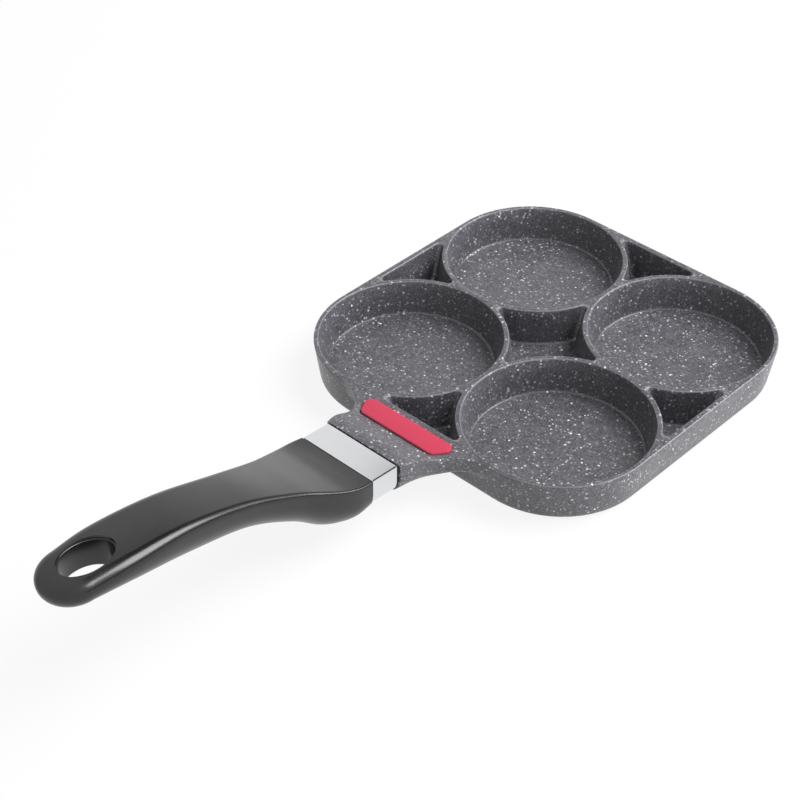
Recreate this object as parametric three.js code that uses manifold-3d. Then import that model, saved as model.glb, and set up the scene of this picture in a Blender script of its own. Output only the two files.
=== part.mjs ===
// Four-cup cast pan with a stone-effect coating, a bright ferrule and a moulded handle.
// Millimetres, +Z up. The origin is the middle of the underside, and the handle points along -Y.
import * as THREE from "three";
import { mergeVertices } from "three/addons/utils/BufferGeometryUtils.js";
import Module from "manifold-3d";

const wasm = await Module();
wasm.setup();

// Cups
const cupBore = 94;
const cupDepth = 18;
const cupDraft = 4;
const cupFillet = 3;
const rimWidth = 2.5;

// Casting round the cups
const floorThickness = 5;
const wallDraft = 3.3;
const baseRadius = 4;
const gapWall = 3.3;
const gapFloor = 4;
const gapDraft = 3;
const gapCorner = 2.2;

// Magnetic plate pressed into the underside
const plateInset = 15.5;
const plateThickness = 0.9;
const plateHole = 7;
const plateRingPitch = 20;
const plateMargin = 10;
const plateHolesPerRing = 6;

// Bracket cast on the pan, and the tang that runs on into the handle
const bracketLength = 35.2;
const bracketLean = 2.1;
const bracketStep = 5.8;
const bracketStepFrom = 9;
const bracketLand = 3.2;
const bracketNeckWidth = 50.8;
const bracketTaperRun = 12;
const bracketFlare = 24;
const bracketFlareFrom = 1;
const bracketEdge = 3;
const bracketRootSide = 7;
const bracketRootBelly = 3.5;
const tangRoot = 8.8;
const tangWidth = 20;
const tangThickness = 10;
const tangPastScrew = 14;
const tangTilt = THREE.MathUtils.degToRad(12);

// Red strip let into the bracket
const stripLength = 53;
const stripTaper = 2.8;
const stripWidth = 13.2;
const stripCorner = 3;
const stripSunk = 1.6;
const stripProud = 0.6;
const stripSetback = 7.4;
const stripPegDiameter = 4;
const stripPegDepth = 2.2;
const stripPegPitch = 30;
const stripTilt = THREE.MathUtils.degToRad(6.5);

// Gasket and ferrule
const gasketThickness = 0.9;
const gasketInset = 0.5;
const ferruleLength = 14.4;
const ferruleWidth = 44.4;
const ferruleRise = 1;
const ferruleWall = 0.9;
const ferruleEdge = 1;
const armSide = 8;
const armBelly = 13.5;

// Handle behind the ferrule. Its stations give the share of the way to the round end, the rise of the
// top, the half width, the upright side, the belly and the edge radius.
const handleLength = 165;
const handleProud = 0.8;
const handleStations = [
  [0.06, 1.8, 23, 9, 16.8, 1.8],
  [0.16, 6.6, 20.5, 9, 18, 2.2],
  [0.26, 13, 17.1, 7.5, 15, 3],
  [0.43, 23, 14.5, 6, 12.8, 3.6],
  [0.645, 31.6, 16, 6, 11.6, 4],
  [0.86, 36.3, 16.4, 5.5, 10.2, 4.2],
  [1, 37, 15.4, 5, 9, 4.2],
];
const handleEndRadius = 16;
const handleTipFlat = THREE.MathUtils.degToRad(5.6);
const hangHoleLength = 28;
const hangHoleWidth = 18.4;
const hangHoleWaist = 0.82;
const hangHoleWeb = 8.4;

// Fastening under the handle
const screwDiameter = 5;
const screwHeadBand = 1.8;
const screwHeadHeight = 2.6;
const screwChamfer = 0.9;
const screwSocket = 3;
const screwSocketDepth = 1.6;
const screwBehindFerrule = 12.4;
const screwCover = 2;
const seatThickness = 3;
const washerBand = 2;
const washerThickness = 0.8;
const springThickness = 1.2;
const springSplit = THREE.MathUtils.degToRad(14);
const pocketPlay = 0.5;
const plugThickness = 2;
const plugGap = 0.5;

// Fits and facets
const clearance = 0.3;
const stackGap = 0.1;
const overcut = 1;
const weld = 1e-4;
const cupFacets = 64;
const roundFacets = 24;
const smallFacets = 12;
const socketFacets = 6;
const edgeFacets = 3;
const bellyFacets = 12;
const gapCornerFacets = 4;
const gapCuspFacets = 2;
const gapWallFacets = 6;
const bracketSteps = 14;
const handleSteps = 26;
const handleTipSteps = 6;
const bellyPower = 2.4;

// Sizes that follow from those above
const panHeight = floorThickness + cupDepth;
const cupRadius = cupBore / 2;
const cupOffset = (cupBore + rimWidth) / 2;
const rimRadius = cupRadius + rimWidth;
const panHalf = cupOffset + rimRadius;
const shoulderY = -panHalf - bracketLength;
const shoulderTop = panHeight + bracketLean + bracketStep;
const ferruleFront = shoulderY - gasketThickness;
const ferruleBack = ferruleFront - ferruleLength;
const handleFront = ferruleBack - clearance;
const ferruleTop = shoulderTop + ferruleRise;
const handleTip = handleFront - handleLength;
const tangHeight = shoulderTop - (armSide + armBelly) / 2;
const screwSetback = gasketThickness + ferruleLength + clearance + screwBehindFerrule;
const tangLength = screwSetback + tangPastScrew;
const plateRadius = panHalf - wallDraft - baseRadius - plateInset;
const screwRadius = screwDiameter / 2;
const screwHeadRadius = screwRadius + screwHeadBand;
const washerBore = screwRadius + clearance;
const washerRadius = washerBore + washerBand;
const pocketRadius = Math.max(washerRadius, screwHeadRadius) + pocketPlay;

// Solids and meshes

function solidOf(geometry) {
  const bare = new THREE.BufferGeometry();
  bare.setAttribute("position", geometry.getAttribute("position"));
  bare.setIndex(geometry.getIndex());
  const merged = mergeVertices(bare, weld);
  const corners = merged.getIndex().array;
  const triangles = [];
  for (let i = 0; i < corners.length; i += 3) {
    const face = Array.from(corners.slice(i, i + 3));
    if (new Set(face).size === 3) triangles.push(...face);
  }
  return new wasm.Manifold(new wasm.Mesh({
    numProp: 3,
    vertProperties: new Float32Array(merged.getAttribute("position").array),
    triVerts: new Uint32Array(triangles),
  }));
}

function geometryOf(solid) {
  const mesh = solid.getMesh();
  const geometry = new THREE.BufferGeometry();
  geometry.setAttribute("position", new THREE.BufferAttribute(mesh.vertProperties, 3));
  geometry.setIndex(new THREE.BufferAttribute(mesh.triVerts, 1));
  geometry.computeVertexNormals();
  return geometry;
}

function joined(solids) {
  return solids.reduce((whole, next) => whole.add(next));
}

// Faces over one flat ring, turned along the ring or against it.
function capFaces(flatRing, alongRing) {
  const turn = Math.sign(THREE.ShapeUtils.area(flatRing)) * (alongRing ? 1 : -1);
  return THREE.ShapeUtils.triangulateShape([...flatRing], []).map((face) => {
    const faceTurn = Math.sign(THREE.ShapeUtils.area(face.map((i) => flatRing[i])));
    return faceTurn === turn ? face : [...face].reverse();
  });
}

// A closed skin over rings with equal numbers of points, capped at both ends.
function loft(rings, flatten) {
  const count = rings[0].length;
  const faces = [];
  for (let r = 0; r + 1 < rings.length; r += 1) {
    for (let i = 0; i < count; i += 1) {
      const a = r * count + i;
      const b = r * count + ((i + 1) % count);
      faces.push([a, b, b + count], [a, b + count, a + count]);
    }
  }
  const last = (rings.length - 1) * count;
  faces.push(...capFaces(rings[0].map(flatten), false));
  faces.push(...capFaces(rings.at(-1).map(flatten), true).map((face) => face.map((i) => i + last)));
  const geometry = new THREE.BufferGeometry();
  const points = rings.flat().flatMap((point) => point.toArray());
  geometry.setAttribute("position", new THREE.Float32BufferAttribute(points, 3));
  geometry.setIndex(faces.flat());
  const solid = solidOf(geometry);
  if (solid.volume() > 0) return solid;
  geometry.setIndex(faces.map((face) => [...face].reverse()).flat());
  return solidOf(geometry);
}

function levelLoft(levels) {
  const rings = levels.map(([z, outline]) => outline.map((p) => new THREE.Vector3(p.x, p.y, z)));
  return loft(rings, (p) => new THREE.Vector2(p.x, p.y));
}

function crossLoft(sections) {
  const rings = sections.map(([y, outline]) => outline.map((p) => new THREE.Vector3(p.x, y, p.y)));
  return loft(rings, (p) => new THREE.Vector2(p.x, p.z));
}

function arc(x, y, radius, from, to, steps) {
  return new THREE.EllipseCurve(x, y, radius, radius, from, to, to < from).getPoints(steps);
}

function turned(profile, facets) {
  const points = profile.map(([radius, z]) => new THREE.Vector2(radius, z));
  return solidOf(new THREE.LatheGeometry(points, facets).rotateX(Math.PI / 2));
}

function rod(radius, from, to, facets = roundFacets) {
  return turned([[0, from], [radius, from], [radius, to], [0, to]], facets);
}

function block(width, length, height, x, y, z) {
  return solidOf(new THREE.BoxGeometry(width, length, height).translate(x, y, z));
}

function plate(shape, from, to) {
  const options = { depth: to - from, bevelEnabled: false, curveSegments: smallFacets };
  return solidOf(new THREE.ExtrudeGeometry(shape, options).translate(0, 0, from));
}

function placed(solid, matrix) {
  return solid.transform(matrix.elements);
}

// Rounded square seen from above, drawn in from the rim outline.
function squareOutline(inset) {
  const radius = rimRadius - inset;
  return [0, 1, 2, 3].flatMap((corner) => {
    const start = (corner * Math.PI) / 2;
    const x = cupOffset * (corner === 0 || corner === 3 ? 1 : -1);
    const y = cupOffset * (corner < 2 ? 1 : -1);
    return arc(x, y, radius, start, start + Math.PI / 2, cupFacets / 4);
  });
}

function panShell() {
  const levels = [];
  for (let i = 0; i <= edgeFacets; i += 1) {
    const turn = (i / edgeFacets) * (Math.PI / 2);
    levels.push([baseRadius * (1 - Math.cos(turn)), wallDraft + baseRadius * (1 - Math.sin(turn))]);
  }
  levels.push([panHeight, 0]);
  return levelLoft(levels.map(([z, inset]) => [z, squareOutline(inset)]));
}

function cupCut() {
  const filletX = cupRadius - cupDraft - cupFillet;
  const filletZ = floorThickness + cupFillet;
  const fillet = arc(filletX, filletZ, cupFillet, -Math.PI / 2, 0, edgeFacets);
  return turned([
    [0, floorThickness],
    ...fillet.map((p) => [p.x, p.y]),
    [cupRadius, panHeight],
    [cupRadius, panHeight + overcut],
    [0, panHeight + overcut],
  ], cupFacets);
}

// Outline of the pocket between two cups and the outer wall on the +Y side.
function sideGapOutline(drawIn) {
  const wall = rimRadius + drawIn;
  const reach = wall + gapCorner;
  const edge = panHalf - gapWall - drawIn;
  const cornerY = edge - gapCorner;
  const cornerX = cupOffset - Math.sqrt(reach ** 2 - (cornerY - cupOffset) ** 2);
  const cuspY = cupOffset + Math.sqrt(reach ** 2 - cupOffset ** 2);
  const cornerTurn = Math.atan2(cupOffset - cornerY, cupOffset - cornerX);
  const cuspTurn = Math.atan2(cuspY - cupOffset, -cupOffset);
  const half = [
    ...arc(cornerX, cornerY, gapCorner, Math.PI / 2, cornerTurn, gapCornerFacets),
    ...arc(cupOffset, cupOffset, wall, cornerTurn + Math.PI, cuspTurn, gapWallFacets).slice(1),
    ...arc(0, cuspY, gapCorner, cuspTurn - Math.PI, -Math.PI / 2, gapCuspFacets).slice(1),
  ];
  const mirrored = half.slice(0, -1).reverse().map((p) => new THREE.Vector2(-p.x, p.y));
  return [...half, ...mirrored];
}

// Outline of the pocket in the middle of the four cups.
function middleGapOutline(drawIn) {
  const wall = rimRadius + drawIn;
  const cusp = cupOffset - Math.sqrt((wall + gapCorner) ** 2 - cupOffset ** 2);
  const cuspTurn = Math.atan2(cupOffset - cusp, cupOffset);
  const wallFrom = cuspTurn + Math.PI;
  const wallTo = Math.PI * 1.5 - cuspTurn;
  const quarter = [
    ...arc(0, cusp, gapCorner, Math.PI / 2, cuspTurn, gapCuspFacets),
    ...arc(cupOffset, cupOffset, wall, wallFrom, wallTo, gapWallFacets).slice(1),
    ...arc(cusp, 0, gapCorner, Math.PI / 2 - cuspTurn, 0, gapCuspFacets).slice(1, -1),
  ];
  const middle = new THREE.Vector2();
  return [0, 1, 2, 3].flatMap((k) => (
    quarter.map((p) => p.clone().rotateAround(middle, -k * Math.PI / 2))
  ));
}

function gapCut(outline) {
  return levelLoft([
    [gapFloor, outline(gapDraft)],
    [panHeight, outline(0)],
    [panHeight + overcut, outline(0)],
  ]);
}

// Cross-section of bracket, ferrule and handle: flat top, upright sides and a full belly.
function armOutline({ top, halfWidth, side, belly, edge }) {
  const outline = arc(halfWidth - edge, top - edge, edge, Math.PI / 2, 0, edgeFacets);
  for (let i = 0; i <= bellyFacets; i += 1) {
    const turn = (i / bellyFacets) * Math.PI;
    const across = Math.sign(Math.cos(turn)) * Math.abs(Math.cos(turn)) ** (2 / bellyPower);
    const down = Math.sin(turn) ** (2 / bellyPower);
    outline.push(new THREE.Vector2(halfWidth * across, top - side - belly * down));
  }
  outline.push(...arc(edge - halfWidth, top - edge, edge, Math.PI, Math.PI / 2, edgeFacets));
  return outline;
}

function insetArm(section, wall) {
  return {
    top: section.top - wall,
    halfWidth: section.halfWidth - wall,
    side: section.side - wall,
    belly: section.belly - wall,
    edge: Math.max(section.edge - wall, section.edge / 4),
  };
}

const ferruleSections = [
  { top: shoulderTop, halfWidth: ferruleWidth / 2, side: armSide, belly: armBelly, edge: ferruleEdge },
  { top: ferruleTop, halfWidth: ferruleWidth / 2, side: armSide, belly: armBelly, edge: ferruleEdge },
];

// Bracket section at a distance out from the pan: flared root, step up and shoulder down to the ferrule.
function bracketSection(out) {
  const along = out / bracketLength;
  const toNeck = Math.max(bracketFlare - Math.max(out, bracketFlareFrom), 0);
  const flare = bracketFlare - Math.sqrt(bracketFlare ** 2 - toNeck ** 2);
  const taper = Math.max(out - bracketLength + bracketTaperRun, 0) / bracketTaperRun;
  const step = THREE.MathUtils.smoothstep(out, bracketStepFrom, bracketLength - bracketLand);
  const neck = THREE.MathUtils.lerp(bracketNeckWidth, ferruleWidth, taper ** 2);
  return {
    top: panHeight + bracketLean * along + bracketStep * step,
    halfWidth: neck / 2 + flare,
    side: THREE.MathUtils.lerp(bracketRootSide, armSide, along),
    belly: THREE.MathUtils.lerp(bracketRootBelly, armBelly, along),
    edge: THREE.MathUtils.lerp(ferruleEdge, bracketEdge, Math.sin(along * Math.PI)),
  };
}

function bracket() {
  const rootDepth = gapWall + wallDraft;
  const sections = [[rootDepth - panHalf, armOutline(bracketSection(0))]];
  for (let i = 0; i <= bracketSteps; i += 1) {
    const out = (bracketLength * i) / bracketSteps;
    sections.push([-panHalf - out, armOutline(bracketSection(out))]);
  }
  return crossLoft(sections);
}

// Places of the turned pieces: the tang with its fastening, and the strip on the bracket.
const tangPlace = new THREE.Matrix4().makeRotationX(-tangTilt).setPosition(0, shoulderY, tangHeight);
const stripTop = bracketSection(stripSetback).top;
const stripPlace = new THREE.Matrix4().makeRotationX(-stripTilt)
  .setPosition(0, -panHalf - stripSetback, stripTop);

const tangUnder = -tangThickness / 2;
const seatLevel = tangUnder - clearance - seatThickness;
const washerLevel = seatLevel - clearance;
const springLevel = washerLevel - washerThickness - stackGap;
const headLevel = springLevel - springThickness - stackGap;
const plugLevel = headLevel - screwHeadHeight - plugGap;
const screwTip = tangThickness / 2 - screwCover;

function tang() {
  const bar = block(tangWidth, tangLength + tangRoot, tangThickness, 0, (tangRoot - tangLength) / 2, 0);
  const hole = rod(screwRadius + clearance, tangUnder - overcut, screwTip + clearance);
  return placed(bar.subtract(hole.translate(0, -screwSetback, 0)), tangPlace);
}

function tangSocket() {
  const length = tangLength + clearance + tangRoot;
  const width = tangWidth + 2 * clearance;
  const height = tangThickness + 2 * clearance;
  return placed(block(width, length, height, 0, tangRoot - length / 2, 0), tangPlace);
}

// Bar with round corners, shorter on the handle side.
function stripShape(grow) {
  const wideX = stripLength / 2 - stripCorner;
  const narrowX = wideX - stripTaper;
  const y = stripWidth / 2 - stripCorner;
  const lean = Math.atan2(stripTaper, 2 * y);
  const radius = stripCorner + grow;
  const shape = new THREE.Shape();
  shape.absarc(wideX, y, radius, -lean, Math.PI / 2);
  shape.absarc(-wideX, y, radius, Math.PI / 2, Math.PI + lean);
  shape.absarc(-narrowX, -y, radius, Math.PI + lean, Math.PI * 1.5);
  shape.absarc(narrowX, -y, radius, Math.PI * 1.5, Math.PI * 2 - lean);
  return shape;
}

function stripPegs(grow) {
  const pegs = [-1, 1].map((end) => {
    const peg = rod(stripPegDiameter / 2 + grow, -stripSunk - stripPegDepth - grow, 0, smallFacets);
    return peg.translate((end * stripPegPitch) / 2, 0, 0);
  });
  return joined(pegs);
}

function stripRecess() {
  const pocket = plate(stripShape(clearance), -stripSunk - clearance, stripProud + overcut);
  return placed(pocket.add(stripPegs(clearance)), stripPlace);
}

function panBody() {
  let body = joined([panShell(), bracket(), tang()]);
  body = body.subtract(gapCut(middleGapOutline));
  const cup = cupCut().translate(cupOffset, cupOffset, 0);
  const sideGap = gapCut(sideGapOutline);
  for (const turn of [0, 90, 180, 270]) {
    body = body.subtract(cup.rotate(0, 0, turn)).subtract(sideGap.rotate(0, 0, turn));
  }
  const recess = rod(plateRadius + clearance, -overcut, plateThickness + clearance, cupFacets);
  return body.subtract(recess).subtract(stripRecess());
}

function basePlate() {
  let disc = rod(plateRadius, 0, plateThickness, cupFacets);
  const hole = rod(plateHole / 2, -overcut, plateThickness + overcut, smallFacets);
  const rings = Math.floor((plateRadius - plateMargin) / plateRingPitch);
  for (let ring = 1; ring <= rings; ring += 1) {
    const count = plateHolesPerRing * ring;
    const radius = ring * plateRingPitch;
    for (let k = 0; k < count; k += 1) {
      const turn = (k / count) * Math.PI * 2;
      disc = disc.subtract(hole.translate(radius * Math.cos(turn), radius * Math.sin(turn), 0));
    }
  }
  return disc;
}

function accentStrip() {
  return plate(stripShape(0), -stripSunk, stripProud).add(stripPegs(0));
}

function heatGasket() {
  const outline = armOutline(insetArm(ferruleSections[0], gasketInset));
  return crossLoft([[shoulderY, outline], [ferruleFront, outline]]).subtract(tangSocket());
}

function ferruleLoft(wall, past) {
  const [front, back] = ferruleSections.map((section) => armOutline(insetArm(section, wall)));
  return crossLoft([
    [ferruleFront + past, front],
    [ferruleFront, front],
    [ferruleBack, back],
    [ferruleBack - past, back],
  ]);
}

function ferrule() {
  const [front, back] = ferruleSections.map((section) => armOutline(section));
  const outside = crossLoft([[ferruleFront, front], [ferruleBack, back]]);
  return outside.subtract(ferruleLoft(ferruleWall, overcut));
}

// Smooth run of each handle measure from the ferrule through the stations.
const handleStart = handleLength - handleEndRadius;
const handleMouth = insetArm(ferruleSections[1], -handleProud);
const handleRows = [
  [0, 0, handleMouth.halfWidth, handleMouth.side, handleMouth.belly, handleMouth.edge],
  ...handleStations,
];
const handleMeasures = [1, 2, 3, 4, 5].map((column) => (
  new THREE.SplineCurve(handleRows.map((row) => new THREE.Vector2(row[0] * handleStart, row[column])))
));

function handleSection(share, endShare) {
  const [rise, halfWidth, side, belly, edge] = handleMeasures.map((curve) => curve.getPoint(share).y);
  const narrow = Math.sqrt(1 - endShare ** 2);
  const thin = Math.sqrt(1 - endShare ** 4);
  const height = side + belly;
  const drop = (height * (1 - thin)) / 2;
  return {
    top: handleMouth.top + rise - drop,
    halfWidth: halfWidth * narrow,
    side: side * thin,
    belly: belly * thin,
    edge: edge * Math.min(narrow, thin),
  };
}

function handleSkin() {
  const sections = [];
  for (let i = 0; i <= handleSteps; i += 1) {
    const share = i / handleSteps;
    const y = handleFront - handleMeasures[0].getPoint(share).x;
    sections.push([y, armOutline(handleSection(share, 0))]);
  }
  for (let i = 1; i <= handleTipSteps; i += 1) {
    const endShare = Math.sin((i / handleTipSteps) * (Math.PI / 2 - handleTipFlat));
    const y = handleFront - handleStart - handleEndRadius * endShare;
    sections.push([y, armOutline(handleSection(1, endShare))]);
  }
  return crossLoft(sections);
}

function hangHole() {
  const oval = (share) => new THREE.EllipseCurve(
    0,
    handleTip + hangHoleWeb + hangHoleLength / 2,
    (hangHoleWidth / 2) * share,
    (hangHoleLength / 2) * share,
  ).getPoints(roundFacets).slice(0, -1);
  const { top, side, belly } = handleSection(1, 0);
  const past = side + belly;
  const under = top - past;
  return levelLoft([
    [under - past, oval(1)],
    [under, oval(1)],
    [(under + top) / 2, oval(hangHoleWaist)],
    [top, oval(1)],
    [top + past, oval(1)],
  ]);
}

function screwPocket() {
  const deep = handleMouth.side + handleMouth.belly;
  const shank = rod(screwRadius + clearance, seatLevel - overcut, 0);
  const pocket = rod(pocketRadius, seatLevel - deep, seatLevel);
  return placed(shank.add(pocket).translate(0, -screwSetback, 0), tangPlace);
}

function handle() {
  const spigotSections = ferruleSections.map((section) => insetArm(section, ferruleWall + clearance));
  const spigot = crossLoft([
    [ferruleFront - clearance, armOutline(spigotSections[0])],
    [ferruleBack, armOutline(spigotSections[1])],
    [handleFront - overcut, armOutline(spigotSections[1])],
  ]);
  const whole = joined([handleSkin(), spigot]);
  return whole.subtract(tangSocket()).subtract(screwPocket()).subtract(hangHole());
}

function handleScrew() {
  const lower = headLevel - screwHeadHeight;
  const screw = turned([
    [0, lower],
    [screwHeadRadius - screwChamfer, lower],
    [screwHeadRadius, lower + screwChamfer],
    [screwHeadRadius, headLevel],
    [screwRadius, headLevel],
    [screwRadius, screwTip - screwChamfer],
    [screwRadius - screwChamfer, screwTip],
    [0, screwTip],
  ], roundFacets);
  return screw.subtract(rod(screwSocket / 2, lower - overcut, lower + screwSocketDepth, socketFacets));
}

function washer() {
  const low = washerLevel - washerThickness;
  return turned([
    [washerBore, low],
    [washerRadius, low],
    [washerRadius, washerLevel],
    [washerBore, washerLevel],
    [washerBore, low],
  ], roundFacets);
}

function springWasher() {
  const shape = new THREE.Shape();
  shape.absarc(0, 0, screwHeadRadius, springSplit, Math.PI * 2);
  shape.absarc(0, 0, washerBore, Math.PI * 2, springSplit, true);
  return plate(shape, springLevel - springThickness, springLevel);
}

function screwPlug() {
  return rod(pocketRadius - clearance, plugLevel - plugThickness, plugLevel);
}

// Finishes
const coating = { color: 0x5c5b61, roughness: 0.62, metalness: 0 };
const redSilicone = { color: 0xdf4f67, roughness: 0.55, metalness: 0 };
const brightSteel = { color: 0xdcdde0, roughness: 0.18, metalness: 1 };
const dullSteel = { color: 0xa9acb0, roughness: 0.38, metalness: 1 };
const bakelite = { color: 0x2b2b2d, roughness: 0.42, metalness: 0 };
const blackRubber = { color: 0x141414, roughness: 0.8, metalness: 0 };

function named(name, solid, finish) {
  const mesh = new THREE.Mesh(geometryOf(solid), new THREE.MeshStandardMaterial(finish));
  mesh.name = name;
  return mesh;
}

function groupAt(matrix, meshes) {
  const group = new THREE.Group();
  group.applyMatrix4(matrix);
  group.add(...meshes);
  return group;
}

const alongTang = new THREE.Matrix4().makeTranslation(0, -screwSetback, 0);
const fasteningPlace = tangPlace.clone().multiply(alongTang);

const pan = new THREE.Group();
pan.add(
  named("pan_body", panBody(), coating),
  named("base_plate", basePlate(), dullSteel),
  groupAt(stripPlace, [named("accent_strip", accentStrip(), redSilicone)]),
  named("heat_gasket", heatGasket(), blackRubber),
  named("ferrule", ferrule(), brightSteel),
  named("handle", handle(), bakelite),
  groupAt(fasteningPlace, [
    named("handle_screw", handleScrew(), dullSteel),
    named("flat_washer", washer(), dullSteel),
    named("spring_washer", springWasher(), dullSteel),
    named("screw_plug", screwPlug(), blackRubber),
  ]),
);

export default pan;
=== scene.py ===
import math

import bmesh
import bpy
from mathutils import Matrix, Vector


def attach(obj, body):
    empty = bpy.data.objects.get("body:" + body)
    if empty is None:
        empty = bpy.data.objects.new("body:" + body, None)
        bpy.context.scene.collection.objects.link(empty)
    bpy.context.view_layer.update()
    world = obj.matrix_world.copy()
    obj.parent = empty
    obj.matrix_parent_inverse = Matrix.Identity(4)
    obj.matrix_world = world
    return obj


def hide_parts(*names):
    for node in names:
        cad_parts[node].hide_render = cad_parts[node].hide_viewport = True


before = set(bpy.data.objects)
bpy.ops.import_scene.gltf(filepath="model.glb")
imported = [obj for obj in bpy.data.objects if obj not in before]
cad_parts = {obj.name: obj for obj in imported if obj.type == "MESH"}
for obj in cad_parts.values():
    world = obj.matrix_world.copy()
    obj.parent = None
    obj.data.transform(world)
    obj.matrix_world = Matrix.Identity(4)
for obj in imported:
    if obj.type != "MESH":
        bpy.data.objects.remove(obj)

mm = 0.001
weld = 0.002 * mm  # points closer than this are one
sameLevel = 0.01 * mm
upwards = (0, 0, 1)
sharpTurn = math.radians(60)  # edges that turn more than this get a bevel
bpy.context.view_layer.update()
print("frame loaded:", len(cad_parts), "nodes")


# Small helpers

def linear(hexColour):  # sRGB hex to the linear colour a shader takes
    channels = [int(hexColour[i:i + 2], 16) / 255 for i in (1, 3, 5)]
    return [c / 12.92 if c <= 0.04045 else ((c + 0.055) / 1.055) ** 2.4 for c in channels] + [1]


def addNode(tree, kind, settings, links=()):  # one node, its settings, and (socket, source) links into it
    node = tree.nodes.new(kind)
    for key, value in settings.items():
        if isinstance(key, int) or key in node.inputs:
            node.inputs[key].default_value = value
        else:
            setattr(node, key, value)
    for socket, source in links:
        tree.links.new(source, node.inputs[socket])
    return node


def newMaterial(name):
    material = bpy.data.materials.new(name)
    material.use_nodes = True
    tree = material.node_tree
    return material, tree, tree.nodes["Principled BSDF"]


def newObject(name, bm):
    mesh = bpy.data.meshes.new(name)
    bm.to_mesh(mesh)
    bm.free()
    obj = bpy.data.objects.new(name, mesh)
    bpy.context.scene.collection.objects.link(obj)
    return obj


def closeUp(bm):  # merge the doubles, then turn the faces outwards
    bmesh.ops.remove_doubles(bm, verts=bm.verts, dist=weld)
    bmesh.ops.recalc_face_normals(bm, faces=bm.faces)


def bakeModifiers(obj):  # the modified mesh becomes the object's own
    baked = bpy.data.meshes.new_from_object(obj.evaluated_get(bpy.context.evaluated_depsgraph_get()))
    old = obj.data
    obj.modifiers.clear()
    obj.data = baked
    bpy.data.meshes.remove(old)


def combine(obj, bm, operation):  # join or cut with a second closed shape
    tool = newObject("tool", bm)
    modifier = obj.modifiers.new(operation.lower(), "BOOLEAN")
    modifier.object = tool
    modifier.operation = operation
    modifier.solver = "EXACT"
    bakeModifiers(obj)
    mesh = tool.data
    bpy.data.objects.remove(tool)
    bpy.data.meshes.remove(mesh)


def finishPiece(obj, material, slotName, *nodes, sharpAngle=35):
    obj.data.materials.clear()
    obj.data.materials.append(material)
    obj.data.shade_smooth()
    obj.data.set_sharp_from_angle(angle=math.radians(sharpAngle))
    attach(obj, "root")
    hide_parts(*nodes)
    print("piece done:", obj.name, len(obj.data.polygons), "faces")


def arcPoints(centre, radius, start, end, steps):  # points of an arc in a flat profile
    turns = [math.radians(start + (end - start) * i / steps) for i in range(steps + 1)]
    return [(centre[0] + radius * math.cos(t), centre[1] + radius * math.sin(t)) for t in turns]


def smoothStep(value, start, end):
    share = min(max((value - start) / (end - start), 0), 1)
    return share * share * (3 - 2 * share)


def addTube(bm, sections):  # closed sections of equal count, extruded one to the next; gives the end loops
    ring = bmesh.ops.create_circle(bm, segments=len(sections[0]), radius=1)["verts"]
    loops = []
    for section in sections:
        if loops:
            made = set(bmesh.ops.extrude_edge_only(bm, edges=loops[-1])["geom"])
            ring = [next(e.other_vert(v) for e in v.link_edges if e.other_vert(v) in made) for v in ring]
        for vert, point in zip(ring, section):
            vert.co = point
        loops.append([bm.edges.get(pair) for pair in zip(ring, ring[1:] + ring[:1])])
    return loops[0], loops[-1]


def addSolid(bm, sections):  # the same with both ends closed
    for loop in addTube(bm, sections):
        bmesh.ops.edgeloop_fill(bm, edges=loop)


def addRod(bm, place, radius, low, high, segments=64):
    middle = place @ Matrix.Translation((0, 0, (low + high) / 2))
    bmesh.ops.create_cone(
        bm, cap_ends=True, segments=segments, radius1=radius, radius2=radius, depth=high - low,
        matrix=middle)


# Camera, at the photograph's angle

shot = dict(
    location=(0.4631, -0.5965, 0.5869),
    below=38.956,  # degrees down from level
    turn=43.44,  # degrees round from looking along +Y
    lens=83.49,
    sensor=36,
)
cameraData = bpy.data.cameras.new("camera")
cameraData.lens = shot["lens"]
cameraData.sensor_width = shot["sensor"]
camera = bpy.data.objects.new("camera", cameraData)
camera.location = shot["location"]
camera.rotation_euler = (math.radians(90 - shot["below"]), 0, math.radians(shot["turn"]))
bpy.context.scene.collection.objects.link(camera)
bpy.context.scene.camera = camera


# Materials

noiseSpan = (0.3, 0.7)  # most values of a noise texture lie in here


def addSkin(tree, shader, pattern, roughness, strength, relief):  # one pattern drives gloss and fine relief
    smoothest, roughest = roughness
    gloss = addNode(
        tree, "ShaderNodeMapRange", {"To Min": smoothest, "To Max": roughest}, [("Value", pattern)])
    tree.links.new(gloss.outputs["Result"], shader.inputs["Roughness"])
    bump = addNode(
        tree, "ShaderNodeBump", {"Strength": strength, "Distance": relief}, [("Height", pattern)])
    tree.links.new(bump.outputs["Normal"], shader.inputs["Normal"])


stone = dict(
    grain=0.9 * mm,
    grainSpan=(0.3, 0.75),
    tones=("#313034", "#6f6e74"),
    mottle=9 * mm,
    mottleShade=(0.86, 1.12),
    ragged=0.5 * mm,  # unevenness of the flecks' outlines
    raggedReach=0.35 * mm,
    # painted highlight on the rim lips: a paler tone near the rim height, only where the surface turns
    # upwards
    lipHighlightTone="#a3a2a8",
    lipHighlightBand=1.1 * mm,
    lipHighlightFull=(0.45, 0.85),  # share of the band
    lipHighlightFacing=(0.15, 0.5),  # only where the surface turns upwards
    lipHighlightShare=0.28,
    roughness=(0.3, 0.42),
    strength=0.35,
    relief=0.06 * mm,
    specular=0.7,
)
# cell size, share of empty cells, largest fleck as a share of the cell, colour
flecks = [
    (1.6 * mm, 0.3, 0.42, "#838288"),
    (2.1 * mm, 0.3, 0.32, "#b3b2b7"),
    (3.6 * mm, 0.5, 0.18, "#dededf"),
]


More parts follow.
